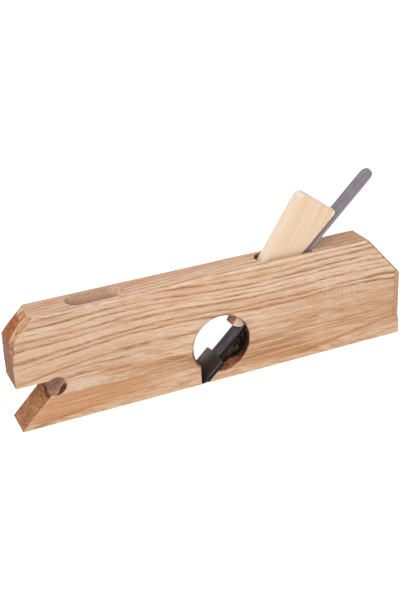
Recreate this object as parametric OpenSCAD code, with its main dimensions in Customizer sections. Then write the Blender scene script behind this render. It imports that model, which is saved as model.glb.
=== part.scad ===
// Wooden rabbet plane: a stock with a round eye, a T-shaped iron flush with both sides, and a wedge.
// The origin is the middle of the sole. X runs from the toe to the heel, Y across, and Z up.

/* [Stock] */
// Length of the stock from toe to heel
stock_length = 240; // [220:1:300]
// Thickness of the stock, which is also the width of the cut
stock_width = 20; // [17:0.5:30]
// Height of the stock above the sole
stock_height = 66; // [60:0.5:80]
// Length and drop of the slope at the top of the toe
toe_slope = 12; // [6:0.5:16]
// Length of the slope at the top of the heel
heel_slope_length = 22.7; // [12:0.1:30]
// Drop of the slope at the top of the heel
heel_slope_drop = 25.8; // [14:0.1:34]

/* [Arrises] */
// Radius of the two long arrises of the top
top_arris = 1.6; // [1.1:0.1:2.5]
// Chamfer of the toe slope, measured across the slope
toe_arris_across = 4.9; // [4:0.1:6]
// Chamfer of the toe slope, measured down the side
toe_arris_down = 1.4; // [1.1:0.1:1.5]
// Chamfer of the toe's end just below the slope, measured on each face
toe_end_arris = 2.6; // [1.6:0.1:3]
// Length of the stretch over which the chamfer of the toe's end runs out
toe_runout = 16; // [8:0.5:22]
// Chamfer of the heel slope, measured on each face
heel_slope_arris = 0.9; // [0.4:0.1:1]
// Chamfer of the heel's end, measured along the side
heel_arris_back = 4.4; // [2:0.1:6]
// Chamfer of the heel's end, measured across it
heel_arris_across = 1.5; // [1.1:0.1:2.5]
// Height above the sole at which the heel chamfer is still full
heel_arris_stop = 12; // [9:0.5:20]
// Length of the stretch over which the heel chamfer runs out
heel_runout = 5; // [2:0.5:8]

/* [Toe notch] */
// Distance of the notch's round hole from the toe
notch_from_toe = 22.1; // [18:0.1:30]
// Height of the round hole above the sole
notch_height = 22.8; // [18:0.1:28]
// Diameter of the round hole
notch_d = 10.6; // [9.2:0.1:14]
// Height of the upper jaw above the middle of the round hole
upper_jaw_rise = 4.3; // [2:0.1:4.5]
// Depth of the lower jaw below the middle of the round hole
lower_jaw_drop = 1.4; // [0:0.1:3]
// Distance of the lower jaw's tip behind the toe
jaw_setback = 0.6; // [0:0.1:3]

/* [Finger recess] */
// Distance of the recess from the toe
recess_from_toe = 34.3; // [28:0.1:50]
// Length of the recess, round ends included
recess_length = 33.2; // [24:0.1:45]
// Width of the recess
recess_width = 13.4; // [10:0.1:14.5]
// Depth of the recess
recess_depth = 8; // [4:0.5:14]

/* [Eye and mouth] */
// Diameter of the eye bored through the sides
eye_d = 35; // [31:0.5:40]
// Distance of the eye's middle from the toe
eye_from_toe = 120; // [116:0.5:124]
// Height of the eye's middle above the sole
eye_height = 23.2; // [21:0.1:26]
// Distance of the cutting edge from the toe
edge_from_toe = 107; // [104:0.5:110]
// Width of the mouth in front of the cutting edge
mouth_gap = 0.4; // [0.2:0.1:1.5]

/* [Iron] */
// Angle of the iron above the sole, in degrees
pitch = 43; // [40:0.5:48]
// Thickness of the iron
iron_t = 2.6; // [2:0.1:3.5]
// Length of the wide head, from the cutting edge to the shoulders
head_length = 17.4; // [14:0.1:20]
// Radius of the shoulders' corners
shoulder_r = 1.2; // [0.4:0.1:2.5]
// Radius of the inner corners between the head and the tang
root_r = 1; // [0.4:0.1:2]
// Width of the tang
tang_width = 9; // [7:0.1:11]
// Length of tang that stands out of the top, along the iron
tang_stand = 59.8; // [40:0.1:75]
// Angle of the ground bevel, in degrees
bevel = 30; // [22:1:34]

/* [Wedge] */
// Width of the wedge
wedge_width = 9.8; // [8:0.1:12]
// Taper of the wedge inside the stock, in degrees
wedge_taper = 15.5; // [12:0.5:17]
// Angle by which the sloping face leans back above the stock, in degrees
lean_angle = 2.7; // [0.5:0.1:4]
// Thickness of the wedge where the iron enters the mortise
wedge_throat = 7.6; // [6.5:0.1:9]
// Distance that the wedge's tip reaches into the eye, along the iron
wedge_reach = 4; // [1:0.1:5]
// Angle between the wedge's sloping face and the end of its tip, in degrees
tip_angle = 81; // [70:1:90]
// Length of wedge that stands out of the top, along its sloping face
wedge_stand = 44; // [30:0.1:55]
// Angle at which the top end is cut, in degrees. At 90 it is square to the sloping face.
end_angle = 92; // [85:0.5:96]
// Radius of the top corner beside the iron
wedge_corner_r = 3.6; // [2:0.1:6]
// Radius of the top corner over the sloping face
wedge_nose_r = 5.2; // [1:0.1:6]
// Radius of the arrises of the sloping face
wedge_arris_r = 2; // [1:0.1:3]
// Radius of the arrises beside the iron
wedge_back_r = 1.7; // [0.6:0.1:2.2]
// Chamfer of the arrises of the wedge's top end
wedge_end_arris = 0.7; // [0.3:0.1:0.9]

/* [Mortise] */
// Width of the mortise, whose front wall is half round
mortise_width = 13.8; // [12.8:0.1:14.5]
// Angle by which the front wall is steeper than the wedge, in degrees
abutment_relief = 4.5; // [3:0.5:7]

/* [Fits] */
// Gap between the iron and its bed
bed_gap = 0.05; // [0.02:0.01:0.3]
// Gap between the wedge and the iron, and between the wedge and the front wall
wedge_gap = 0.05; // [0.02:0.01:0.3]

/* [Hidden] */
$fn = 96;
ash = [0.80, 0.62, 0.45];
forged_steel = [0.38, 0.35, 0.38];
pale_wood = [0.95, 0.84, 0.68];
// How far a cutter runs past the wood that it cuts
over = 5;
// How much wider a rounding is cut than its radius, so that it crosses the faces beside it cleanly
ease = 0.002;

// Unit vectors in the XZ plane, along a slope and square to it
function along(angle) = [cos(angle), sin(angle)];
function square_to(angle) = [-sin(angle), cos(angle)];

// Points of the side view, as [x, z]
toe_x = -stock_length / 2;
heel_x = stock_length / 2;
toe_shoulder = stock_height - toe_slope;
heel_shoulder = stock_height - heel_slope_drop;
notch = [toe_x + notch_from_toe, notch_height];
eye = [toe_x + eye_from_toe, eye_height];
edge = [toe_x + edge_from_toe, 0];

// Length of the way from a point to where a line at that angle leaves the eye
function way_out(from, angle) =
    let (d = from - eye, ahead = d * along(angle))
    sqrt(ahead * ahead - d * d + eye_d * eye_d / 4) - ahead;

// Length of the way from a point to the top of the stock, at that angle
function way_up(from, angle) = (stock_height - from.y) / sin(angle);

// A point given by its distance up the iron from the cutting edge and its height over the iron
function on_iron(up, over_iron) = edge + up * along(pitch) + over_iron * square_to(pitch);

// The iron and its bed
iron_length = way_up(edge, pitch) + tang_stand;
bed_h = -(iron_t + bed_gap);
eye_up = (eye - edge) * along(pitch);

// Side view of the wedge, as [distance up the iron, height over it]
throat_up = way_out(edge, pitch);
tip_front = [throat_up - wedge_reach, wedge_throat - wedge_reach * tan(wedge_taper)];
tip = on_iron(tip_front.x, tip_front.y);
face_angle = pitch + wedge_taper;
bend = tip_front + way_up(tip, face_angle) * along(wedge_taper);
upper_taper = wedge_taper - lean_angle;
top_front = bend + wedge_stand * along(upper_taper);
// Where a cut at that angle to the sloping face, from a point on that face, meets the underside
function cut_end(from, taper, angle) =
    from + (from.y - wedge_gap) / sin(angle - taper) * along(taper - angle);
tip_back = cut_end(tip_front, wedge_taper, tip_angle);
top_back = cut_end(top_front, upper_taper, end_angle);

// The mortise: its back wall is the bed, whose corners are rounded beside the tang, and the wedge's
// round arrises touch the half-round front wall where the wedge leaves the eye
mortise_r = mortise_width / 2;
bed_corner_r = (mortise_width - tang_width) / 4;
abutment_angle = face_angle + abutment_relief;
seat = tip + way_out(tip, face_angle) * along(face_angle);
seat_half = wedge_width / 2 - wedge_arris_r;
seat_reach = mortise_r - wedge_arris_r;
seat_depth = wedge_arris_r + sqrt(seat_reach * seat_reach - seat_half * seat_half);
abutment = seat + (wedge_gap - seat_depth) * square_to(abutment_angle);

// Places what follows on the iron: X up the iron from the cutting edge, Z square to its face
module on_bed() {
    translate([edge.x, 0, edge.y]) rotate([0, -pitch, 0]) children();
}

// Makes a solid of that width from an outline drawn in the side view
module across(width) {
    rotate([90, 0, 0]) linear_extrude(width, center = true) children();
}

module both_sides() {
    children();
    mirror([0, 1, 0]) children();
}

// What a rounding takes off a corner between the edges that leave it at angles a and b
module corner_waste(corner, a, b, r) {
    half = (b - a) / 2;
    middle = (a + b) / 2;
    centre = corner + r / sin(half) * along(middle);
    difference() {
        polygon([
            centre,
            centre + (r + over) * along(a - 90),
            corner - over / sin(half) * along(middle),
            centre + (r + over) * along(b + 90)
        ]);
        translate(centre) circle(r + ease);
    }
}

// Runs a waste profile along the near arris of a piece, from one point of the side view to another,
// with the wood on the right-hand side of the way. It runs past both points, so that it meets the
// next one in a mitre, unless it is to stop at the second.
module along_arris(from, to, width = stock_width, stops = false) {
    way = to - from;
    translate([from.x, -width / 2, from.y])
        rotate([0, -atan2(way.y, way.x), 0])
            translate([-over, 0, 0])
                rotate([90, 0, 90])
                    linear_extrude(norm(way) + (stops ? over : 2 * over)) children();
}

// Profile of what a chamfer takes off: x across the piece, y down its side
module chamfer_waste(x, y) {
    run = [x, y] / norm([x, y]) * over;
    polygon([[x, 0] + run, [0, -y] - run, [-over, over]]);
}

// Profile of what a rounding takes off
module round_waste(r) {
    difference() {
        translate([-over, -r]) square(r + over);
        translate([r, -r]) circle(r + ease);
    }
}

// Everything on the outer side of the plane through three points
module beyond_plane(a, b, c) {
    n = cross(b - a, c - a) / norm(cross(b - a, c - a));
    big = 4 * stock_width;
    translate(a)
        rotate([0, acos(n.z), atan2(n.y, n.x)])
            translate([-big / 2, -big / 2, 0]) cube(big);
}

// Waste of a chamfer on a near upright arris that runs out downwards from full_z, and goes on above
// it as far as asked. The wood lies on the side of the arris that back points to.
module runout_waste(x, full_z, length, back, across, above = 0) {
    near = -stock_width / 2;
    end_z = full_z - length;
    on_end = [x, near + across, full_z];
    on_side = [x + back, near, full_z];
    out = [x, near, end_z];
    intersection() {
        if (back > 0) beyond_plane(on_end, out, on_side);
        else beyond_plane(on_end, on_side, out);
        translate([x - stock_width, near - over, end_z - over])
            cube([2 * stock_width, stock_width / 2 + over, length + over + above]);
    }
}

// Side view of the stock, with the notch, the eye and the mouth
module stock_outline() {
    difference() {
        polygon([
            [toe_x + jaw_setback, 0],
            [heel_x, 0],
            [heel_x, heel_shoulder],
            [heel_x - heel_slope_length, stock_height],
            [toe_x + toe_slope, stock_height],
            [toe_x, toe_shoulder],
            [toe_x, notch.y + upper_jaw_rise],
            [notch.x, notch.y + upper_jaw_rise],
            [notch.x, notch.y - lower_jaw_drop]
        ]);
        translate(notch) circle(d = notch_d);
        translate(eye) circle(d = eye_d);
        mouth_outline();
    }
}

// The mouth rises from the sole into the eye, between an upright front wall and the bed
module mouth_outline() {
    below_sole = (-over - bed_h * cos(pitch)) / sin(pitch);
    polygon([
        [edge.x - mouth_gap, -over],
        [edge.x - mouth_gap, eye.y],
        on_iron(eye_up, bed_h),
        on_iron(below_sole, bed_h)
    ]);
}

// A long slot that runs along X and opens upwards from a flat floor on the XY plane
module flat_floor_slot() {
    r = bed_corner_r;
    rotate([90, 0, 90])
        linear_extrude(2 * stock_height) {
            translate([r - mortise_r, 0]) square([mortise_width - 2 * r, 2 * r]);
            translate([-mortise_r, r]) square([mortise_width, stock_height]);
            for (side = [-1, 1])
                translate([side * (mortise_r - r), r]) circle(r);
        }
}

// A long slot that runs along X and opens upwards from a half-round floor about the X axis
module round_floor_slot() {
    rotate([90, 0, 90])
        linear_extrude(2 * stock_height) {
            circle(mortise_r);
            translate([-mortise_r, 0]) square([mortise_width, stock_height]);
        }
}

// The mortise is what a slot on the bed and a slot on the front wall have in common
module mortise() {
    intersection() {
        on_bed() translate([eye_up, 0, bed_h]) flat_floor_slot();
        translate([abutment.x, 0, abutment.y])
            rotate([0, -abutment_angle, 0])
                mirror([0, 0, 1])
                    translate([-eye_d, 0, 0]) round_floor_slot();
    }
}

module finger_recess() {
    r = recess_width / 2;
    straight = recess_length - recess_width;
    translate([toe_x + recess_from_toe + r, 0, stock_height - recess_depth])
        linear_extrude(recess_depth + over) {
            circle(r);
            translate([straight, 0]) circle(r);
            translate([0, -r]) square([straight, recess_width]);
        }
}

// The arrises of the sole and of the notch stay sharp
module stock() {
    slope_foot = [toe_x, toe_shoulder];
    slope_head = [toe_x + toe_slope, stock_height];
    heel_head = [heel_x - heel_slope_length, stock_height];
    heel_foot = [heel_x, heel_shoulder];
    heel_stop = [heel_x, heel_arris_stop];
    color(ash)
        difference() {
            across(stock_width) stock_outline();
            mortise();
            finger_recess();
            both_sides()
                runout_waste(toe_x, toe_shoulder, toe_runout, toe_end_arris, toe_end_arris, above = over);
            both_sides() along_arris(slope_foot, slope_head)
                chamfer_waste(toe_arris_across, toe_arris_down);
            both_sides() along_arris(slope_head, heel_head) round_waste(top_arris);
            both_sides() along_arris(heel_head, heel_foot) chamfer_waste(heel_slope_arris, heel_slope_arris);
            both_sides() along_arris(heel_foot, heel_stop, stops = true)
                chamfer_waste(heel_arris_across, heel_arris_back);
            both_sides()
                runout_waste(heel_x, heel_arris_stop, heel_runout, -heel_arris_back, heel_arris_across);
        }
}

// The iron seen square to its face: X up the iron, Y across. It runs past the cutting edge, and the
// bevel takes that off.
module iron_outline() {
    tang_end = iron_length - tang_width / 2;
    half = stock_width / 2;
    difference() {
        union() {
            translate([-over, -half]) square([over + head_length, stock_width]);
            translate([0, -tang_width / 2]) square([tang_end, tang_width]);
            translate([tang_end, 0]) circle(d = tang_width);
            difference() {
                translate([head_length - root_r, -tang_width / 2 - root_r])
                    square([2 * root_r, tang_width + 2 * root_r]);
                for (side = [-1, 1])
                    translate([head_length + root_r, side * (tang_width / 2 + root_r)]) circle(root_r);
            }
        }
        corner_waste([head_length, half], 180, 270, shoulder_r);
        corner_waste([head_length, -half], 90, 180, shoulder_r);
    }
}

// The bevel is ground on the underside, from the cutting edge back
module bevel_waste() {
    run = 2 * over * [cos(bevel), -sin(bevel)];
    front = -run;
    back = [iron_t / tan(bevel), -iron_t] + run;
    across(stock_width + 2 * over) polygon([front, back, [front.x, back.y]]);
}

module iron() {
    color(forged_steel)
        on_bed()
            difference() {
                translate([0, 0, -iron_t]) linear_extrude(iron_t) iron_outline();
                bevel_waste();
            }
}

module wedge_outline() {
    difference() {
        polygon([tip_back, top_back, top_front, bend, tip_front]);
        corner_waste(top_back, 180 + upper_taper - end_angle, 180, wedge_corner_r);
        corner_waste(top_front, 180 + upper_taper, 360 + upper_taper - end_angle, wedge_nose_r);
    }
}

module wedge() {
    color(pale_wood)
        on_bed()
            difference() {
                across(wedge_width) wedge_outline();
                both_sides() {
                    along_arris(tip_front, bend, wedge_width) round_waste(wedge_arris_r);
                    along_arris(bend, top_front, wedge_width) round_waste(wedge_arris_r);
                    along_arris(top_back, tip_back, wedge_width) round_waste(wedge_back_r);
                    along_arris(top_front, top_back, wedge_width)
                        chamfer_waste(wedge_end_arris, wedge_end_arris);
                }
            }
}

stock();
iron();
wedge();
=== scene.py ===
import math

import bpy
from mathutils import Matrix, Vector

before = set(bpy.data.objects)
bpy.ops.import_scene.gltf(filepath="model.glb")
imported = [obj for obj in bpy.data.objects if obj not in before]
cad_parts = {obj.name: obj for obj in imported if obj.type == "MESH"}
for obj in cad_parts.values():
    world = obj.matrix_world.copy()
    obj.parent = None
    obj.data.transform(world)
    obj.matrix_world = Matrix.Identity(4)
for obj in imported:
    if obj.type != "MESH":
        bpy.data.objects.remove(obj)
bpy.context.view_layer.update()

# The row frame: X from toe to heel, Y across, Z up from the sole. The materials work in millimetres.
scene = bpy.context.scene
stock, iron, wedge = (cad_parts[n] for n in ("stock", "iron", "wedge"))

# The stock: half its length, half its thickness, and the height at which its toe starts to slope
HALF_LENGTH = 120.0
HALF_WIDTH = 10.0
TOE_SHOULDER = 54.0
# The round holes: X and Z of the axis, and the radius
EYE = (0.0, 23.2, 17.5)
NOTCH_HOLE = (-97.9, 22.8, 5.3)
# Half the width of the finger recess and of the mortise, with a little to spare
HOLLOW_REACH = 7.0
# The pith of the tree, measured from the middle of the board and down from its main ring line
PITH_BEHIND, PITH_BELOW = 40.0, 30.0
# The iron: the pitch of its bed, X of its cutting edge, its thickness, and how far its head stands out
# on each side of the tang
PITCH = math.radians(43)
EDGE_X = -13.0
IRON_THICKNESS = 2.6
HEAD_STEP = 5.5
# The grain of the wedge is steeper than the bed, by a little more than the wedge tapers
WEDGE_GRAIN = PITCH + math.radians(17)
# How far the arrises are rounded, in metres
STOCK_ARRIS, PIECE_ARRIS = 0.00025, 0.0002
# The light that comes from all round, and what the floor adds to look white to the camera
SKY, FLOOR_LIFT = 0.62, 0.62
FLOOR_GREY = 0.86


def srgb(r, g, b):
    """A colour given as it shows on a screen, from 0 to 255."""
    def linear(c):
        c /= 255
        return c / 12.92 if c <= 0.04045 else ((c + 0.055) / 1.055) ** 2.4
    return (linear(r), linear(g), linear(b), 1.0)


class Graph:
    """Builds the nodes of a material or a world. A value is a number, a tuple or another node's socket."""

    def __init__(self, owner):
        owner.use_nodes = True
        self.owner = owner
        self.tree = owner.node_tree
        self.tree.nodes.clear()

    def node(self, kind, **settings):
        n = self.tree.nodes.new(kind)
        for key, value in settings.items():
            setattr(n, key, value)
        return n

    def put(self, socket, value):
        if isinstance(value, bpy.types.NodeSocket):
            self.tree.links.new(value, socket)
        else:
            socket.default_value = value

    def math(self, operation, a, b=None, c=None):
        n = self.node("ShaderNodeMath", operation=operation)
        for i, value in enumerate((a, b, c)):
            if value is not None:
                self.put(n.inputs[i], value)
        return n.outputs[0]

    def add(self, a, b):
        return self.math("ADD", a, b)

    def sub(self, a, b):
        return self.math("SUBTRACT", a, b)

    def mul(self, a, b):
        return self.math("MULTIPLY", a, b)

    def size(self, a):
        return self.math("ABSOLUTE", a)

    def scaled(self, a, factor, offset):
        return self.math("MULTIPLY_ADD", a, factor, offset)

    def where(self, *masks):
        """The product of the masks: 1 where all of them are."""
        product = masks[0]
        for mask in masks[1:]:
            product = self.mul(product, mask)
        return product

    def vector(self, operation, a, b=None):
        n = self.node("ShaderNodeVectorMath", operation=operation)
        self.put(n.inputs[0], a)
        if b is not None:
            self.put(n.inputs["Scale" if operation == "SCALE" else 1], b)
        return n.outputs["Value" if operation == "LENGTH" else "Vector"]

    def stretch(self, at, scale, shift=None):
        stretched = self.vector("MULTIPLY", at, scale)
        return stretched if shift is None else self.vector("ADD", stretched, shift)

    def xyz(self, x, y, z):
        n = self.node("ShaderNodeCombineXYZ")
        for i, value in enumerate((x, y, z)):
            self.put(n.inputs[i], value)
        return n.outputs[0]

    def parts(self, v):
        n = self.node("ShaderNodeSeparateXYZ")
        self.put(n.inputs[0], v)
        return n.outputs[0], n.outputs[1], n.outputs[2]

    def noise(self, at, detail=2.0, roughness=0.5):
        n = self.node("ShaderNodeTexNoise", noise_dimensions="3D")
        for name, value in (("Vector", at), ("Scale", 1.0), ("Detail", detail), ("Roughness", roughness)):
            self.put(n.inputs[name], value)
        return n.outputs["Fac"]

    def wobble(self, at, amount, detail=1.0):
        """A smooth random value from about -amount to amount."""
        return self.mul(self.sub(self.noise(at, detail), 0.5), 2 * amount)

    def ramp(self, value, stops, smooth=False):
        n = self.node("ShaderNodeValToRGB")
        n.color_ramp.interpolation = "EASE" if smooth else "LINEAR"
        points = n.color_ramp.elements
        while len(points) < len(stops):
            points.new(1.0)
        for point, (position, colour) in zip(points, stops):
            point.position = position
            point.color = colour if isinstance(colour, tuple) else (colour, colour, colour, 1.0)
        self.put(n.inputs[0], value)
        return n.outputs[0]

    def curve(self, value, points):
        """A smooth function through points whose x and y both lie between 0 and 1."""
        n = self.node("ShaderNodeFloatCurve")
        c = n.mapping.curves[0]
        c.points[0].location = points[0]
        c.points[1].location = points[-1]
        for p in points[1:-1]:
            c.points.new(*p)
        n.mapping.update()
        self.put(n.inputs["Value"], value)
        return n.outputs[0]

    def span(self, value, low, high, to_low=0.0, to_high=1.0, smooth=True):
        """From to_low to to_high while the value goes from low to high, which may be the lower of the two."""
        n = self.node("ShaderNodeMapRange", interpolation_type="SMOOTHSTEP" if smooth else "LINEAR")
        for i, v in enumerate((value, low, high, to_low, to_high)):
            self.put(n.inputs[i], v)
        return n.outputs[0]

    def near(self, value, centre, outer, inner):
        """1 as far as inner from the centre, and 0 from outer on."""
        return self.span(self.size(self.sub(value, centre)), outer, inner)

    def mix(self, factor, a, b, blend="MIX"):
        n = self.node("ShaderNodeMix", data_type="RGBA", blend_type=blend)
        self.put(n.inputs[0], factor)
        self.put(n.inputs[6], a)
        self.put(n.inputs[7], b)
        return n.outputs[2]

    def blend(self, value, low, high, a, b):
        """From colour a to colour b while the value goes from low to high."""
        return self.mix(self.span(value, low, high), a, b)

    def at(self):
        """The point on the piece, in the row frame and in millimetres."""
        coordinates = self.node("ShaderNodeTexCoord")
        return self.vector("SCALE", coordinates.outputs["Object"], 1000.0)

    def facing(self):
        return self.node("ShaderNodeTexCoord").outputs["Normal"]

    def bump(self, height, distance, strength):
        """Height is in units of distance, which is in metres."""
        n = self.node("ShaderNodeBump")
        for name, value in (("Strength", strength), ("Distance", distance), ("Height", height)):
            self.put(n.inputs[name], value)
        return n.outputs[0]

    def seen_directly(self):
        """1 for rays from the camera and for those that it sees mirrored or through glass."""
        ray = self.node("ShaderNodeLightPath").outputs
        mirrored = self.math("MAXIMUM", ray["Is Glossy Ray"], ray["Is Transmission Ray"])
        return self.math("MAXIMUM", ray["Is Camera Ray"], mirrored)

    def finish(self, colour, roughness, normal, metallic=0.0, specular=0.5):
        shader = self.node("ShaderNodeBsdfPrincipled")
        for name, value in (
            ("Base Color", colour), ("Roughness", roughness), ("Metallic", metallic),
            ("Specular IOR Level", specular), ("Normal", normal),
        ):
            self.put(shader.inputs[name], value)
        output = self.node("ShaderNodeOutputMaterial")
        self.put(output.inputs[0], shader.outputs[0])
        return self.owner


class Wood:
    """What the steps of the stock's material share: the point, its facing, and the noises."""

    def __init__(self, g):
        self.p = p = g.at()
        self.x, self.y, self.z = x, y, z = g.parts(p)
        self.along = g.span(x, -HALF_LENGTH, HALF_LENGTH, smooth=False)
        nx, ny, self.nz = g.parts(g.facing())
        self.side = g.size(ny)
        # End grain shows where the surface faces the toe or the heel
        self.end = g.where(g.span(g.size(nx), 0.3, 0.68), g.span(self.side, 0.75, 0.3))

        # The fibres fall a little towards the heel
        tilted = g.xyz(x, y, g.add(z, g.mul(x, 0.09)))
        self.slow = g.stretch(p, (0.02, 0.06, 0.08))
        self.ragged = g.noise(g.stretch(tilted, (0.085, 0.7, 0.95)), 2.0, 0.6)
        self.broken = g.noise(g.stretch(tilted, (0.09, 0.5, 0.8), (4, 4, 4)), 2.0, 0.6)
        self.fibre = g.noise(g.stretch(p, (0.05, 1.7, 1.7)), 3.0, 0.62)
        self.fine = g.noise(g.stretch(tilted, (0.22, 4.2, 4.2)), 2.0, 0.6)
        self.streak = g.noise(g.stretch(p, (0.018, 0.5, 0.62), (3, 9, 4)), 3.0, 0.55)
        self.dashes = g.noise(g.stretch(tilted, (0.17, 2.7, 2.7)), 1.0, 0.5)
        self.strokes = g.noise(g.stretch(tilted, (0.12, 0.75, 1.05)), 2.0, 0.62)
        self.blush = g.noise(g.stretch(tilted, (0.03, 0.3, 0.36), (1, 2, 9)), 2.0, 0.6)
        self.grain = g.noise(g.stretch(p, (1.3, 1.5, 1.5)), 3.0, 0.7)
        self.coarse = g.noise(g.stretch(p, (0.5, 0.42, 0.5), (2, 8, 5)), 3.0, 0.7)


def rings(g, w):
    """How far the point lies from the pith, and how far above it."""
    # One ring line, and with it all the others, rises from the toe and then levels out
    main_line = g.scaled(g.curve(w.along, [
        (0, 0.325), (0.042, 0.4), (0.125, 0.525), (0.25, 0.675), (0.4, 0.635), (0.5, 0.56),
        (0.625, 0.485), (0.75, 0.49), (0.875, 0.47), (1, 0.41)]), 20.0, 30.0)
    above = g.sub(w.z, main_line)
    # The lines above it fan out at the toe, and those below it dip and rise
    fan = g.curve(w.along, [(0, 0.72), (0.125, 0.87), (0.3, 1.0), (1, 1.0)])
    above = g.mul(above, g.add(1.0, g.mul(g.sub(fan, 1.0), g.span(above, 0, 6))))
    dip = g.scaled(g.curve(w.along, [
        (0, 0.1), (0.125, 0.2), (0.25, 0.55), (0.4, 0.75), (0.52, 0.5), (0.625, 0.34), (0.75, 0.5),
        (0.875, 0.62), (1, 0.6)]), 10.0, -6.0)
    above = g.add(above, g.mul(dip, g.span(above, -7, -16)))

    rise = g.add(g.add(above, PITH_BELOW), g.wobble(w.slow, 1.2))
    behind = g.sub(PITH_BEHIND, g.add(w.y, g.wobble(g.vector("ADD", w.slow, (7, 3, 5)), 1.2)))
    radius = g.vector("LENGTH", g.xyz(0, behind, rise))
    tongue = g.curve(w.along, [(0, 0.02), (0.3, 0.02), (0.4, 0.28), (0.5, 0.85), (0.6, 1.0), (1, 0.92)])
    radius = g.add(radius, g.mul(g.mul(tongue, 2.2), g.span(w.z, 30, 16)))
    quick = g.wobble(g.stretch(w.p, (0.05, 0.22, 0.3)), 0.4)
    return g.add(radius, g.add(quick, g.mul(g.sub(w.ragged, 0.5), 1.1))), rise


def ring_lines(g, w, radius):
    """The dark line of each ring, from 0 to about 1."""
    # The rings are not all as wide. The curve counts 12 of them between these two radii.
    inner, outer, ring_width = 49.0, 77.0, 2.3
    kept = g.math("MINIMUM", g.math("MAXIMUM", radius, inner), outer)
    count = g.mul(g.curve(g.span(kept, inner - 1, outer + 1, smooth=False), [
        (0.033, 0.0), (0.107, 0.083), (0.16, 0.167), (0.22, 0.25), (0.344, 0.333), (0.399, 0.417), (0.5, 0.5),
        (0.562, 0.583), (0.627, 0.667), (0.697, 0.75), (0.8, 0.833), (0.887, 0.917), (0.967, 1.0)]), 12.0)
    count = g.add(g.add(count, g.math("DIVIDE", g.sub(radius, kept), ring_width)), 20.5)
    ring = g.math("FLOOR", count)
    place = g.math("FRACT", count)

    # Each line has its own strength, fades in places, and all are faint in a calm zone behind the eye
    year = g.node("ShaderNodeTexWhiteNoise", noise_dimensions="1D")
    g.put(year.inputs["W"], ring)
    strength = g.span(year.outputs["Value"], 0, 1, 0.6, 1.0, smooth=False)
    fade = g.noise(g.xyz(g.mul(w.x, 0.03), g.mul(w.y, 0.1), g.mul(ring, 3.7)))
    strength = g.mul(strength, g.span(fade, 0.3, 0.62, 0.4, 1.2))
    calm = g.where(g.span(w.x, 8, 26), g.span(w.z, 18, 24), g.span(w.z, 39, 36))
    strength = g.mul(strength, g.sub(1.0, g.mul(calm, 0.72)))

    halo = g.ramp(place, [
        (0.0, 0.0), (0.2, 0.1), (0.4, 0.62), (0.5, 1.0), (0.6, 0.72), (0.8, 0.24), (1.0, 0.0)], smooth=True)
    core = g.ramp(place, [(0.38, 0.0), (0.5, 1.0), (0.57, 0.5), (0.64, 0.0)])
    core = g.mul(core, g.span(w.broken, 0.36, 0.6, 0.15, 1.0))
    return g.mul(g.add(g.mul(halo, 0.4), g.mul(core, 0.62)), strength)


def long_grain(g, w, line, radius, rise):
    """The colour of the wood where it is cut along its fibres."""
    strata = g.noise(g.xyz(g.mul(w.x, 0.014), g.mul(w.y, 0.06), g.mul(radius, 0.85)), 4.0, 0.68)
    hair = g.noise(g.xyz(g.mul(w.x, 0.03), g.mul(w.y, 0.3), g.mul(radius, 1.7)), 2.0, 0.6)

    # Where the rings lie flat, low on the side, brown streaks take the place of the lines
    flat = g.span(g.size(rise), 17, 8)
    tone = g.mul(line, g.sub(1.4, g.mul(flat, 0.7)))
    tone = g.add(tone, g.mul(g.where(flat, g.span(w.streak, 0.42, 0.62)), 0.4))
    for noise, amount in ((strata, 1.4), (w.strokes, 0.85), (hair, 0.8), (w.fibre, 0.35)):
        tone = g.add(tone, g.mul(g.sub(noise, 0.5), amount))
    # The wood is a little paler high up, both towards the heel and over the middle
    tone = g.add(tone, g.span(g.mul(g.add(w.x, 40), g.span(w.z, 40, 60)), 0, 60, 0.09, -0.01))
    tone = g.sub(tone, g.mul(g.where(g.near(w.x, -8, 48, 20), g.span(w.z, 38, 46)), 0.06))
    colour = g.ramp(tone, [
        (0.0, srgb(244, 214, 186)),
        (0.2, srgb(230, 194, 162)),
        (0.42, srgb(214, 168, 132)),
        (0.7, srgb(194, 140, 100)),
        (1.0, srgb(164, 108, 72)),
    ])
    # In places it leans to orange, pink or yellow
    hue = g.noise(g.stretch(w.p, (0.014, 0.07, 0.08)))
    colour = g.mix(g.span(hue, 0.42, 0.68, 0.0, 0.3), colour, srgb(226, 170, 124))
    colour = g.mix(g.span(w.blush, 0.5, 0.7, 0.0, 0.28), colour, srgb(226, 178, 154))
    colour = g.mix(g.span(w.blush, 0.5, 0.3, 0.0, 0.28), colour, srgb(226, 186, 138))
    # The toe's half is a little darker and greyer
    return g.mix(g.span(w.x, -30, -60, 0.0, 0.7), colour, (0.93, 0.94, 0.955, 1.0), "MULTIPLY")


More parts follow.
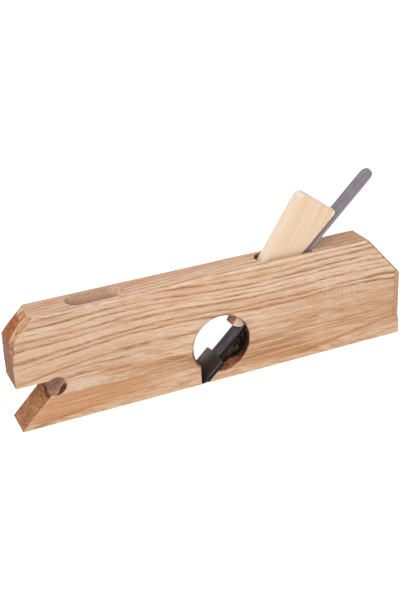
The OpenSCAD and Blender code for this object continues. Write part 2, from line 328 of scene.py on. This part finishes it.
def lenses(g, w, colour):
    """Low on the side the rings lie open as two long brown lenses with pale wood under them."""
    z = g.sub(w.z, g.mul(g.add(w.y, HALF_WIDTH), 0.15))
    z = g.add(z, g.add(g.wobble(w.slow, 1.0), g.mul(g.sub(w.ragged, 0.5), 2.5)))
    top = g.mul(g.curve(w.along, [
        (0, 0.42), (0.083, 0.53), (0.167, 0.59), (0.25, 0.58), (0.333, 0.49), (0.41, 0.29), (0.46, 0.27),
        (0.54, 0.55), (0.6, 0.73), (0.7, 0.66), (0.79, 0.74), (0.87, 0.87), (1, 0.88)]), 30.0)
    foot = g.mul(g.curve(w.along, [
        (0, 0.03), (0.083, 0.08), (0.167, 0.15), (0.25, 0.22), (0.333, 0.26), (0.41, 0.28), (0.46, 0.26),
        (0.54, 0.2), (0.62, 0.15), (0.7, 0.13), (0.79, 0.2), (0.87, 0.29), (1, 0.42)]), 30.0)
    depth = g.curve(w.along, [
        (0, 0.5), (0.1, 0.68), (0.3, 0.66), (0.42, 0.4), (0.5, 0.3), (0.58, 1.0), (0.68, 0.9), (0.78, 0.5),
        (0.9, 0.55), (1, 0.6)])
    over_foot = g.sub(z, foot)
    lens = g.where(
        g.span(g.sub(top, z), -2.5, 4.5), g.span(over_foot, -1.0, 1.5), depth,
        g.span(w.streak, 0.32, 0.6, 0.45, 1.0))
    streaks = g.where(g.span(w.streak, 0.38, 0.62), g.span(w.x, -20, 20, 0.8, 1.0))
    colour = g.mix(g.mul(lens, 0.8), colour, g.mix(streaks, srgb(224, 174, 128), srgb(180, 127, 84)))
    lower_edge = g.where(g.near(over_foot, 0.9, 1.5, 0.3), g.span(w.x, 30, 60))
    colour = g.mix(g.mul(lower_edge, 0.6), colour, srgb(190, 128, 78))
    under = g.span(g.sub(foot, z), -0.3, 1.2)
    pale = g.blend(w.strokes, 0.42, 0.64, srgb(240, 206, 172), srgb(212, 168, 128))
    colour = g.mix(g.mul(under, 0.85), colour, pale)

    # The wood is browner low at the toe, and at the heel up to half its height
    toe_tone = g.where(g.span(w.x, -18, -84), g.span(w.z, 18, 14), g.span(w.z, 3, 5))
    colour = g.mix(g.mul(toe_tone, g.span(w.streak, 0.36, 0.6, 0.35, 0.75)), colour, srgb(212, 150, 100))
    heel_tone = g.where(g.span(w.x, 60, 110), g.span(w.z, 42, 34), g.span(w.z, 4, 12))
    return g.mix(g.mul(heel_tone, g.span(w.streak, 0.36, 0.62, 0.2, 0.6)), colour, srgb(208, 154, 112))


def figure(g, w, colour, pores):
    """A patch of rippled figure near the heel, and everywhere the open pores and a fine grain."""
    patch = g.where(g.near(w.x, 74, 22, 6), g.near(w.z, 36.5, 8, 3))
    ripple = g.noise(g.stretch(w.p, (0.8, 0.3, 0.05)), 1.0, 0.5)
    colour = g.mix(g.mul(patch, g.span(ripple, 0.42, 0.6, 0.0, 0.26)), colour, srgb(180, 128, 92))
    colour = g.mix(g.mul(pores, 0.5), colour, srgb(140, 95, 64))
    return g.mix(g.span(w.fine, 0.36, 0.7, 0.0, 0.16), colour, srgb(176, 128, 92))


def top_face(g, w, colour):
    """The near long arris of the top has a painted highlight, pale, and the far one painted shade, brown. The
    wood between them is redder, and browner towards the heel."""
    upper = g.span(w.z, 63.5, 65.2)
    arris = g.where(upper, g.span(w.nz, 0.1, 0.35), g.span(w.nz, 0.995, 0.93))
    # Painted highlight on the near arris
    near = g.where(arris, g.span(w.y, 4, -4))
    colour = g.mix(g.mul(near, g.span(w.strokes, 0.34, 0.62, 0.85, 0.35)), colour, srgb(244, 216, 192))
    # Painted shade on the far arris
    far = g.where(arris, g.span(w.y, 4, 8))
    colour = g.mix(g.mul(far, g.span(w.strokes, 0.36, 0.6, 0.35, 0.75)), colour, srgb(142, 98, 72))
    face = g.where(g.span(w.nz, 0.93, 0.99), upper)
    red = g.span(g.add(w.y, g.mul(w.blush, 12)), 3, 12, 0.08, 0.5)
    colour = g.mix(g.mul(face, red), colour, srgb(208, 150, 114))
    heel_top = g.where(face, g.span(w.x, 40, 80))
    return g.mix(g.mul(heel_top, g.span(w.strokes, 0.38, 0.62, 0.3, 0.7)), colour, srgb(190, 138, 98))


def heel_chamfers(g, w, colour):
    """The chamfers at the heel are brown, with a thin dark line of painted shade along each side of the
    upright one. The darker brown of the sloping one is painted shade.
    """
    slanted = g.where(g.span(w.side, 0.985, 0.96), g.span(w.side, 0.5, 0.68))
    upright = g.where(slanted, g.span(w.x, 115.3, 115.7), g.span(w.side, 0.85, 0.9))
    brown = g.blend(w.strokes, 0.35, 0.65, srgb(222, 172, 132), srgb(192, 138, 100))
    colour = g.mix(g.mul(upright, 0.7), colour, brown)
    # Painted shade: a thin dark line along each side of the upright chamfer
    lines = g.math("MAXIMUM", g.mul(g.near(w.x, 115.75, 0.4, 0.1), 0.6), g.span(w.x, 119.0, 119.8))
    colour = g.mix(g.mul(g.where(upright, lines), 0.7), colour, srgb(128, 80, 54))
    # Painted shade: the sloping chamfer is made dark brown
    sloping = g.where(slanted, g.span(w.x, 95, 96), g.span(w.side, 0.85, 0.8))
    brown = g.blend(w.strokes, 0.35, 0.65, srgb(152, 96, 68), srgb(112, 68, 50))
    return g.mix(g.mul(sloping, 0.85), colour, brown)


def end_grain(g, w, line):
    """Brown and rough from the saw, with the vessels as dark dots."""
    x_z = g.add(w.x, w.z)
    saw = g.noise(g.xyz(g.mul(x_z, 0.62), g.mul(w.y, 0.1), 3.0), 2.0, 0.6)
    crossing = g.mul(g.add(x_z, g.mul(w.y, 1.1)), 0.5)
    cross = g.noise(g.xyz(crossing, 7.0, g.mul(g.sub(x_z, w.y), 0.08)), 1.0, 0.6)
    tone = g.mul(line, 0.2)
    for noise, amount in ((w.grain, 0.2), (w.coarse, 0.4), (saw, 0.45), (cross, 0.5)):
        tone = g.add(tone, g.mul(noise, amount))
    colour = g.ramp(tone, [
        (0.56, srgb(216, 160, 120)),
        (0.74, srgb(182, 127, 90)),
        (0.9, srgb(155, 104, 72)),
        (1.04, srgb(116, 74, 51)),
    ])
    dots = g.node("ShaderNodeTexVoronoi", voronoi_dimensions="3D", feature="F1")
    g.put(dots.inputs["Vector"], g.stretch(w.p, (0.5, 1.25, 1.25)))
    vessel = g.where(g.span(dots.outputs["Distance"], 0.34, 0.14), g.span(line, 0.05, 0.5, 0.35, 1.0))
    return g.mix(g.mul(vessel, 0.4), colour, srgb(112, 72, 52))


def outside(g, w, hole):
    """How far the point lies outside a round hole."""
    x, z, radius = hole
    return g.sub(g.vector("LENGTH", g.xyz(g.sub(w.x, x), 0, g.sub(w.z, z))), radius)


def jaw(g, w, colour):
    """The lower jaw is browner round the hole that it runs into, with a small knot, and has a chipped
    near arris, made paler partly by a painted highlight."""
    out = outside(g, w, NOTCH_HOLE)
    seam = g.near(g.add(out, g.wobble(g.stretch(w.p, (0.4, 0.4, 0.4)), 1.2, 2.0)), 0.7, 1.0, 0.2)
    colour = g.mix(g.mul(seam, 0.6), colour, srgb(104, 66, 44))
    across, up = g.math("DIVIDE", g.add(w.y, 5.0), 7.5), g.math("DIVIDE", g.sub(w.z, 21.0), 4.6)
    disc = g.vector("LENGTH", g.xyz(across, up, 0))
    disc = g.add(disc, g.wobble(g.stretch(w.p, (0.5, 0.5, 0.5)), 0.18, 2.0))
    near_hole = g.span(out, 8.7, 5.7)
    colour = g.mix(g.mul(g.where(near_hole, g.span(disc, 1.0, 0.8)), 0.55), colour, srgb(186, 118, 84))
    colour = g.mix(g.mul(g.where(near_hole, g.near(disc, 1.0, 0.26, 0.06)), 0.85), colour, srgb(92, 54, 34))
    from_knot = g.vector("SUBTRACT", w.p, (-103.9, -7.6, 20.2))
    knot = g.vector("LENGTH", g.stretch(from_knot, (0.6, 0.5, 0.8)))
    knot = g.add(knot, g.wobble(g.stretch(w.p, (0.9, 0.9, 0.9)), 0.5, 2.0))
    colour = g.mix(g.mul(g.span(knot, 1.2, 0.4), 0.9), colour, srgb(58, 32, 22))
    # The pale near arris is partly chipped wood and partly a painted highlight
    chipped_and_highlit = g.where(g.span(w.y, -9.2, -9.75), g.span(w.nz, 0.2, 0.4), g.span(w.z, 22, 20))
    return g.mix(g.mul(chipped_and_highlit, g.span(w.coarse, 0.42, 0.6, 0.2, 0.9)), colour, srgb(240, 200, 168))


def toe(g, w, colour, end_colour):
    """The slope of the toe is orange on its far half. Its near half and top are torn across the fibres,
    and so is a strip of the side beside it. The toe's end is rough and brown."""
    slope = g.where(g.span(w.x, -106, -108), g.span(w.z, 52, 54), g.span(w.nz, 0.3, 0.5))
    orange = g.blend(w.coarse, 0.36, 0.62, srgb(192, 118, 72), srgb(142, 82, 50))
    end_colour = g.mix(g.mul(slope, 0.9), end_colour, orange)
    upright = g.where(g.span(w.nz, 0.5, 0.2), g.span(w.x, -112, -114))
    dull = g.blend(w.coarse, 0.4, 0.6, srgb(166, 122, 102), srgb(108, 76, 62))
    end_colour = g.mix(g.mul(upright, 0.72), end_colour, dull)
    end_colour = jaw(g, w, end_colour)

    to_far = g.add(g.add(w.y, 2.5), g.mul(g.sub(63.0, w.z), 0.4))
    to_far = g.add(to_far, g.wobble(g.stretch(w.p, (0.5, 0.5, 0.5)), 1.6, 2.0))
    near_half = g.math("MAXIMUM", g.span(to_far, 0.8, -0.8), g.span(w.z, 62.0, 63.6))
    across = g.xyz(g.mul(g.sub(w.x, w.z), 0.8), g.mul(w.y, 0.55), g.mul(g.add(w.x, w.z), 0.1))
    torn = g.ramp(g.noise(across, 3.0, 0.65), [
        (0.32, srgb(238, 204, 170)),
        (0.48, srgb(216, 172, 136)),
        (0.58, srgb(182, 128, 94)),
        (0.7, srgb(144, 92, 64)),
    ])
    end_colour = g.mix(g.mul(g.where(near_half, slope), 0.85), end_colour, torn)
    colour = g.mix(w.end, colour, end_colour)
    from_slope = g.sub(g.add(w.x, HALF_LENGTH + TOE_SHOULDER), w.z)
    beside = g.where(g.span(from_slope, 4.5, 0.5), g.span(w.z, 50, 54), g.span(w.side, 0.8, 0.95))
    colour = g.mix(g.mul(beside, 0.65), colour, torn)

    arris = g.where(g.span(w.side, 0.45, 0.55), g.span(w.side, 0.88, 0.8), g.span(w.x, -116.6, -117.2))
    brown = g.blend(w.z, 40, 50, srgb(196, 150, 122), srgb(196, 128, 84))
    return g.mix(g.mul(arris, 0.85), colour, g.blend(w.coarse, 0.42, 0.6, brown, srgb(118, 76, 56)))


def bored_wall(g, w, hole):
    """Where the wall of a round hole is, and the point's angle round its axis."""
    x, z = hole[:2]
    wall = g.where(g.near(outside(g, w, hole), 0.0, 0.5, 0.25), g.span(w.side, 0.8, 0.6))
    return wall, g.math("ARCTAN2", g.sub(w.z, z), g.sub(w.x, x))


def eye_wall(g, w, colour, deep):
    """The wall of the eye is scorched and also given painted shade: brown at the near rim, black behind it,
    and mottled further in. The second result tells where it is blackest, scorched and in painted shade."""
    wall, turn = bored_wall(g, w, EYE)
    down = g.span(turn, -0.5, -1.25)
    granular = g.noise(g.stretch(w.p, (1.15, 0.95, 1.15)), 3.0, 0.75)
    lower = g.ramp(granular, [(0.34, srgb(96, 48, 24)), (0.5, srgb(164, 98, 56)), (0.64, srgb(210, 146, 98))])
    # The near rim's dark brown is partly scorch and partly painted shade
    near_rim = g.mix(down, srgb(70, 32, 15), lower)
    clot = g.noise(g.stretch(w.p, (0.9, 0.9, 0.9)), 4.0, 0.7)
    # The black is partly scorch and partly painted shade
    char_and_shade = g.ramp(clot, [(0.3, srgb(14, 9, 7)), (0.55, srgb(28, 18, 13)), (0.75, srgb(66, 44, 31))])
    blot = g.noise(g.stretch(w.p, (0.3, 0.22, 0.3), (5, 1, 2)), 3.0, 0.6)
    mottled = g.ramp(g.add(g.mul(blot, 0.65), g.mul(granular, 0.35)), [
        (0.4, srgb(44, 30, 22)), (0.5, srgb(100, 76, 60)), (0.6, srgb(146, 112, 88))])
    further_in = g.span(g.add(deep, g.mul(g.sub(blot, 0.5), 8.0)), 9.0, 11.0)
    char_and_shade = g.mix(g.mul(further_in, g.span(turn, -0.2, -0.55, 0.0, 0.95)), char_and_shade, mottled)
    pale_spot = g.where(g.near(deep, 9.5, 3.2, 1.2), g.near(turn, -0.06, 0.2, 0.08))
    char_and_shade = g.mix(g.mul(pale_spot, 0.75), char_and_shade, srgb(150, 132, 122))
    behind_rim = g.span(g.sub(deep, g.scaled(down, 4.0, 3.2)), -0.9, 0.9)
    return g.mix(wall, colour, g.mix(behind_rim, near_rim, char_and_shade)), g.where(wall, behind_rim)


def notch_wall(g, w, colour, deep):
    """The wall of the notch's hole: painted shade in brown at the near rim, then a pale line of painted light
    and greyer wood.
    """
    wall, turn = bored_wall(g, w, NOTCH_HOLE)
    slanting = g.add(g.sub(w.x, w.z), w.y)
    diagonal = g.noise(g.xyz(slanting, g.mul(g.sub(w.y, w.x), 0.3), 2.0), 2.0, 0.7)
    rough = g.add(g.mul(diagonal, 0.6), g.mul(w.coarse, 0.4))
    grey = g.blend(rough, 0.4, 0.62, srgb(218, 182, 158), srgb(162, 128, 106))
    beyond = g.sub(deep, g.scaled(g.near(turn, -0.75, 1.1, 0.2), 5.6, -0.8))
    # Painted shade: brown at the near rim
    hole_colour = g.blend(beyond, -0.4, 0.4, srgb(112, 58, 27), grey)
    # Painted light: a pale line where the shade ends
    hole_colour = g.mix(g.mul(g.near(beyond, 0.7, 0.6, 0.2), 0.4), hole_colour, srgb(246, 220, 200))
    return g.mix(wall, colour, hole_colour)


def burnt_rims(g, w, colour):
    """The rims of both holes are scorched in patches, on the near side and on the far one. The eye also has a
    rim of painted shade on its toe side.
    """
    for hole, strength in ((EYE, 0.95), (NOTCH_HOLE, 0.6)):
        burnt = g.where(g.span(outside(g, w, hole), 1.05, 0.15), g.span(g.size(w.y), 9.0, 9.6))
        patchy = g.span(w.coarse, 0.35, 0.6, strength, strength * 0.45)
        colour = g.mix(g.mul(burnt, patchy), colour, srgb(84, 50, 32))
    # The side of the eye towards the toe has a darker and wider rim low down, painted shade
    shaded = g.where(
        g.span(outside(g, w, EYE), 1.5, 0.7), g.span(w.x, -13.5, -16),
        g.span(w.z, 9, 12), g.span(w.z, 25, 20))
    return g.mix(g.mul(shaded, 0.8), colour, srgb(72, 50, 38))


def hollows(g, w, colour):
    """The finger recess is pale, with painted shade darkening it towards the toe and with depth. The mortise
    is brown.
    """
    inside = g.where(
        g.span(g.size(w.y), HOLLOW_REACH + 0.05, HOLLOW_REACH - 0.02), g.span(w.z, 65.98, 65.7),
        g.span(w.z, 41, 43), g.span(g.size(w.x), 97, 95))
    mottle = g.noise(g.stretch(w.p, (0.35, 0.6, 0.6)), 3.0, 0.6)
    recess = g.blend(mottle, 0.38, 0.62, srgb(231, 201, 178), srgb(214, 182, 158))
    # Painted shade: the recess darkens towards the toe and with depth
    recess = g.mix(g.span(w.x, -80, -90, 0.0, 0.75), recess, srgb(176, 138, 112))
    recess = g.mix(g.span(w.z, 63.0, 59.3, 0.0, 0.6), recess, srgb(166, 126, 102))
    mortise = g.blend(mottle, 0.38, 0.62, srgb(156, 112, 84), srgb(116, 78, 56))
    colour = g.mix(g.mul(inside, 0.85), colour, g.blend(w.x, -5, 5, recess, mortise))
    # The end of the recess towards the eye catches the light
    bright_end = g.where(inside, g.span(w.x, -57, -53.5), g.span(w.x, -40, -45))
    bright = g.blend(w.coarse, 0.36, 0.6, srgb(250, 222, 198), srgb(206, 156, 120))
    return g.mix(g.mul(bright_end, 0.8), colour, bright)


def ash():
    """Ring-porous wood sawn flat. The rings run round a pith that lies behind the board and low down,
    so that they cut the side in close lines above and in long tongues below."""
    g = Graph(bpy.data.materials.new("ash"))
    w = Wood(g)
    radius, rise = rings(g, w)
    line = ring_lines(g, w, radius)
    # The long open pores gather in the lines
    pores = g.where(g.span(w.dashes, 0.55, 0.66), g.span(line, 0.1, 0.6, 0.3, 1.0))

    colour = long_grain(g, w, line, radius, rise)
    colour = lenses(g, w, colour)
    colour = figure(g, w, colour, pores)
    colour = top_face(g, w, colour)
    colour = heel_chamfers(g, w, colour)
    colour = toe(g, w, colour, end_grain(g, w, line))
    deep = g.add(g.add(w.y, HALF_WIDTH), g.wobble(g.stretch(w.p, (0.3, 0.3, 0.3)), 2.6, 3.0))
    colour, charred_and_shaded = eye_wall(g, w, colour, deep)
    colour = notch_wall(g, w, colour, deep)
    colour = burnt_rims(g, w, colour)
    colour = hollows(g, w, colour)

    roughened = g.add(g.mul(pores, 0.9), g.mul(g.mul(w.end, w.grain), 0.9))
    normal = g.bump(g.sub(g.mul(w.fibre, 0.5), roughened), 0.0002, 0.6)
    roughness = g.add(g.span(w.fibre, 0.2, 0.8, 0.46, 0.6), g.mul(w.end, 0.15))
    dull = g.math("MAXIMUM", g.mul(charred_and_shaded, 0.27), g.mul(w.end, 0.22))
    return g.finish(colour, roughness, normal, specular=g.sub(0.3, dull))


def pale_wood():
    """Fine-grained wood, its grain along the wedge."""
    g = Graph(bpy.data.materials.new("pale_wood"))
    x, y, z = g.parts(g.at())
    cos, sin = math.cos(WEDGE_GRAIN), math.sin(WEDGE_GRAIN)
    up = g.add(g.mul(x, cos), g.mul(z, sin))
    over = g.sub(g.mul(z, cos), g.mul(x, sin))
    q = g.xyz(up, y, over)
    bend = g.wobble(g.stretch(q, (0.03, 0.1, 0.1)), 0.7)
    bent = g.xyz(g.mul(up, 0.012), g.mul(g.add(y, bend), 0.8), g.mul(g.add(over, bend), 1.9))
    line = g.noise(bent, 1.0, 0.5)
    broad = g.noise(g.stretch(q, (0.01, 0.2, 0.24)))
    fleck = g.noise(g.stretch(q, (0.35, 3.0, 3.0)), 2.0, 0.6)
    colour = g.ramp(g.add(g.mul(line, 0.86), g.mul(broad, 0.14)), [
        (0.34, srgb(254, 231, 204)),
        (0.5, srgb(249, 219, 187)),
        (0.66, srgb(238, 202, 165)),
    ])
    colour = g.mix(g.span(fleck, 0.5, 0.75, 0.0, 0.14), colour, srgb(230, 190, 150))

    # The slopes are painted paler than the near side, as light, and the arrises between them duller, as
    # painted shade. The top end and the far side are painted greyish as shade, and the rounded arris into the
    # top end whiter as a highlight.
    nx, ny, nz = g.parts(g.facing())
    side = g.size(ny)
    colour = g.mix(g.span(side, 0.97, 0.6, 0.0, 0.45), colour, srgb(250, 232, 216))
    arris_painted_shade = g.where(g.span(side, 0.96, 0.85), g.span(side, 0.2, 0.45))
    colour = g.mix(g.mul(arris_painted_shade, 0.6), colour, srgb(228, 196, 166))
    end = g.add(g.mul(nx, cos), g.mul(nz, sin))
    colour = g.mix(g.span(end, 0.25, 0.6, 0.0, 0.6), colour, srgb(253, 240, 226))
    colour = g.mix(g.span(end, 0.85, 0.97, 0.0, 0.8), colour, srgb(206, 196, 188))
    colour = g.mix(g.span(ny, 0.25, 0.6, 0.0, 0.6), colour, srgb(206, 190, 178))

    # The tip that reaches into the eye gets painted shade, brown, on its sloping face and painted light,
    # pale, on its sides
    tip = g.where(g.span(z, 47, 41), g.span(side, 0.9, 0.6))
    tip_painted_shade = g.blend(y, 0.0, 4.0, srgb(222, 146, 98), srgb(160, 120, 92))
    colour = g.mix(g.mul(tip, 0.9), colour, tip_painted_shade)
    colour = g.mix(g.where(g.span(z, 46, 43), g.span(side, 0.6, 0.9)), colour, srgb(255, 228, 198))
    normal = g.bump(g.add(g.mul(line, 0.6), g.mul(fleck, 0.4)), 0.00008, 0.5)
    return g.finish(colour, g.span(line, 0.3, 0.7, 0.5, 0.6), normal, specular=0.3)


def forged_steel():
    """Grey steel with clouds, grit and scale, and with streaks drawn out along the iron."""
    g = Graph(bpy.data.materials.new("forged_steel"))
    x, y, z = g.parts(g.at())
    cos, sin = math.cos(PITCH), math.sin(PITCH)
    from_edge = g.sub(x, EDGE_X)
    # Up the iron from its cutting edge, and over it from the bed
    up = g.add(g.mul(from_edge, cos), g.mul(z, sin))
    over = g.add(g.sub(g.mul(z, cos), g.mul(from_edge, sin)), IRON_THICKNESS)
    q = g.xyz(up, y, over)
    cloud = g.noise(g.stretch(q, (0.12, 0.25, 0.3)), 4.0, 0.6)
    grit = g.noise(g.stretch(q, (1.6, 1.6, 1.6)), 4.0, 0.7)
    scale = g.noise(g.stretch(q, (0.4, 0.6, 0.6)), 3.0, 0.6)
    drawn = g.noise(g.stretch(q, (0.05, 0.8, 0.8)), 3.0, 0.6)
    tone = g.add(g.add(g.mul(cloud, 0.5), g.mul(drawn, 0.3)), g.add(g.mul(grit, 0.2), g.mul(scale, 0.25)))
    colour = g.ramp(tone, [
        (0.42, srgb(104, 94, 102)),
        (0.6, srgb(138, 128, 138)),
        (0.8, srgb(166, 156, 165)),
    ])
    side = g.span(g.size(g.parts(g.facing())[1]), 0.6, 0.85)

    # Above the stock the narrow sides have painted shade, brownest beside the wedge, and a painted highlight,
    # paler towards the back
    above_stock = g.span(up, 84, 90)
    strip = g.ramp(g.span(over, 0.0, IRON_THICKNESS, smooth=False), [
        (0.0, srgb(172, 164, 164)),
        (0.14, srgb(162, 153, 154)),
        (0.5, srgb(150, 139, 141)),
        (0.74, srgb(138, 125, 124)),
        (1.0, srgb(110, 92, 84)),
    ])
    colour = g.mix(g.mul(g.where(side, above_stock), 0.8), colour, strip)

    # Inside the stock the iron is darker, most of all on its sides and on its head. The head gets a painted
    # sheen, brighter towards its far side
    in_stock = g.span(up, 92, 74)
    darker_inside = g.ramp(g.add(g.mul(drawn, 0.75), g.mul(grit, 0.25)), [
        (0.36, srgb(56, 48, 50)), (0.5, srgb(88, 78, 82)), (0.64, srgb(128, 117, 121))])
    colour = g.mix(g.mul(in_stock, 0.95), colour, darker_inside)
    head = g.span(up, 20, 16)
    dark = g.blend(grit, 0.35, 0.65, srgb(46, 35, 30), srgb(78, 62, 52))
    painted_sheen = g.where(g.span(y, -2.0, 8.0), g.span(up, 4.0, 13.0), g.span(scale, 0.3, 0.7, 0.7, 1.1))
    colour = g.mix(head, colour, g.mix(painted_sheen, dark, srgb(142, 133, 130)))
    colour = g.mix(g.where(side, in_stock), colour, srgb(40, 31, 27))

    # Inside the stock its upper arrises get a painted highlight
    off_middle = g.size(y)
    near_edge = g.mix(head, off_middle, g.sub(off_middle, HEAD_STEP))
    arris_painted_highlight = g.where(g.span(near_edge, 3.8, 4.2), g.span(over, 2.0, 2.35), g.span(up, 3, 8))
    arris_painted_highlight = g.mul(arris_painted_highlight, g.mix(head, g.span(up, 22, 44, 0.2, 0.9), (0.75, 0.75, 0.75, 1.0)))
    arris_painted_highlight = g.where(arris_painted_highlight, in_stock, g.span(grit, 0.3, 0.6, 0.9, 0.3))
    colour = g.mix(arris_painted_highlight, colour, srgb(150, 148, 156))
    normal = g.bump(g.add(g.mul(scale, 0.7), g.mul(grit, 0.4)), 0.00025, 0.5)
    roughness = g.span(grit, 0.3, 0.7, 0.5, 0.68)
    return g.finish(colour, roughness, normal, metallic=0.3, specular=g.span(in_stock, 0, 1, 0.4, 0.15))


def dress(obj, material, arris):
    """Gives a CAD node its material and rounds its sharp arrises a little. The mesh is joined and its flat
    faces are made whole first."""
    obj.data.materials.clear()
    obj.data.materials.append(material)
    join = obj.modifiers.new("join", "WELD")
    join.merge_threshold = 2e-6
    whole = obj.modifiers.new("whole", "DECIMATE")
    whole.decimate_type = "DISSOLVE"
    whole.angle_limit = math.radians(0.3)
    rounded = obj.modifiers.new("arrises", "BEVEL")
    rounded.limit_method = "ANGLE"
    rounded.angle_limit = math.radians(35)
    rounded.width = arris
    rounded.segments = 3
    rounded.use_clamp_overlap = False
    rounded.harden_normals = True


dress(stock, ash(), STOCK_ARRIS)
dress(iron, forged_steel(), PIECE_ARRIS)
dress(wedge, pale_wood(), PIECE_ARRIS)

# The floor takes the object's shadow, and looks white to the camera
g = Graph(bpy.data.materials.new("floor"))
diffuse = g.node("ShaderNodeBsdfDiffuse")
diffuse.inputs["Color"].default_value = (FLOOR_GREY, FLOOR_GREY, FLOOR_GREY, 1)
lift = g.node("ShaderNodeEmission")
lift.inputs["Color"].default_value = (1, 1, 1, 1)
lift.inputs["Strength"].default_value = FLOOR_LIFT
lifted = g.node("ShaderNodeAddShader")
g.put(lifted.inputs[0], diffuse.outputs[0])
g.put(lifted.inputs[1], lift.outputs[0])
choice = g.node("ShaderNodeMixShader")
for socket, value in zip(choice.inputs, (g.seen_directly(), diffuse.outputs[0], lifted.outputs[0])):
    g.put(socket, value)
g.put(g.node("ShaderNodeOutputMaterial").inputs[0], choice.outputs[0])

bpy.ops.mesh.primitive_plane_add(size=8, location=(0, 0, -0.0002))
ground = bpy.context.object
ground.name = "ground"
ground.data.materials.append(g.owner)

# Plain light from all round, and a white background
scene.world = bpy.data.worlds.new("studio")
g = Graph(scene.world)
lights = [g.node("ShaderNodeBackground") for _ in range(2)]
for light, strength in zip(lights, (SKY, 1.0)):
    light.inputs["Color"].default_value = (1, 1, 1, 1)
    light.inputs["Strength"].default_value = strength
choice = g.node("ShaderNodeMixShader")
for socket, value in zip(choice.inputs, (g.seen_directly(), lights[0].outputs[0], lights[1].outputs[0])):
    g.put(socket, value)
g.put(g.node("ShaderNodeOutputWorld").inputs[0], choice.outputs[0])


def lamp(name, place, power, size=0.7, target=(0, 0, 0.04)):
    data = bpy.data.lights.new(name, "AREA")
    data.shape = "DISK"
    data.size = size
    data.energy = power
    obj = bpy.data.objects.new(name, data)
    obj.location = place
    obj.rotation_euler = (Vector(target) - Vector(place)).to_track_quat("-Z", "Y").to_euler()
    scene.collection.objects.link(obj)


lamp("key", (-1.0, -0.75, 1.0), 9.0)
lamp("fill", (0.7, -1.0, 0.7), 1.5)

# The camera, from the photo's perspective
right = Vector((0.91065079, -0.41080465, -0.04421182))
down = Vector((-0.21730238, -0.38517899, -0.89689287))
ahead = Vector((0.3514183, 0.82636353, -0.44003237))
camera = bpy.data.objects.new("camera", bpy.data.cameras.new("camera"))
camera.data.sensor_width = 36
camera.data.lens = 62.65
camera.data.clip_start = 0.01
turned = Matrix((right, -down, -ahead)).transposed().to_4x4()
camera.matrix_world = Matrix.Translation((-0.215034, -0.487906, 0.307926)) @ turned
scene.collection.objects.link(camera)
scene.camera = camera

scene.view_settings.view_transform = "Standard"
